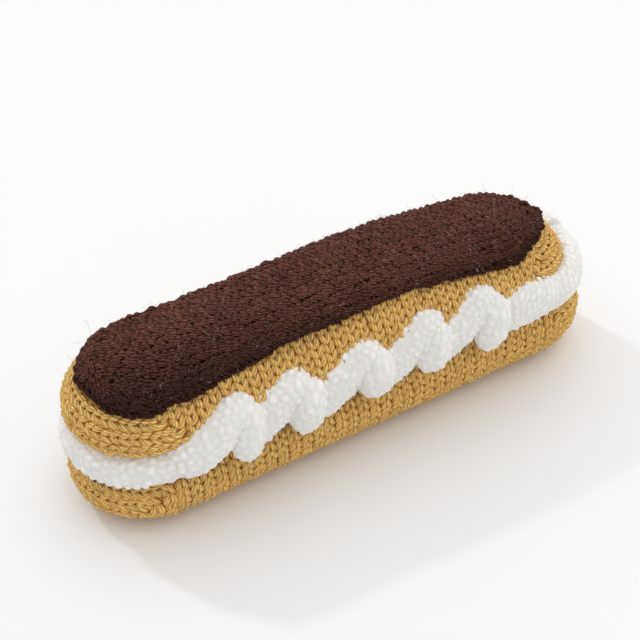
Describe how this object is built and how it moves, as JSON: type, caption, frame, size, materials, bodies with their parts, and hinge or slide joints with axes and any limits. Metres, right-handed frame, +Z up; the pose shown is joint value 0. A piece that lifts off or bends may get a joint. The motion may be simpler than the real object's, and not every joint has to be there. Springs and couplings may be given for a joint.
{
  "type": "knitted toy eclair",
  "caption": "Stuffed wool toy shaped like an iced pastry finger: two padded buns, a ruffled cream strip between them and an icing patch sewn on top.",
  "frame": {"origin": "on the table, under the middle of the toy's bounding box", "axes": "+X along the toy to the end where the lower bun shows beyond the upper one, +Z up"},
  "size_m": [0.1718, 0.0526, 0.0503],
  "materials": {
    "golden_wool": "knitted wool, fuzzy",
    "white_wool": "knitted wool, fuzzy",
    "brown_wool": "knitted wool, fuzzy"
  },
  "bodies": {
    "root": {"bun_bottom": "golden_wool", "cream": "white_wool", "bun_top": "golden_wool", "icing": "brown_wool"}
  },
  "joints": []
}
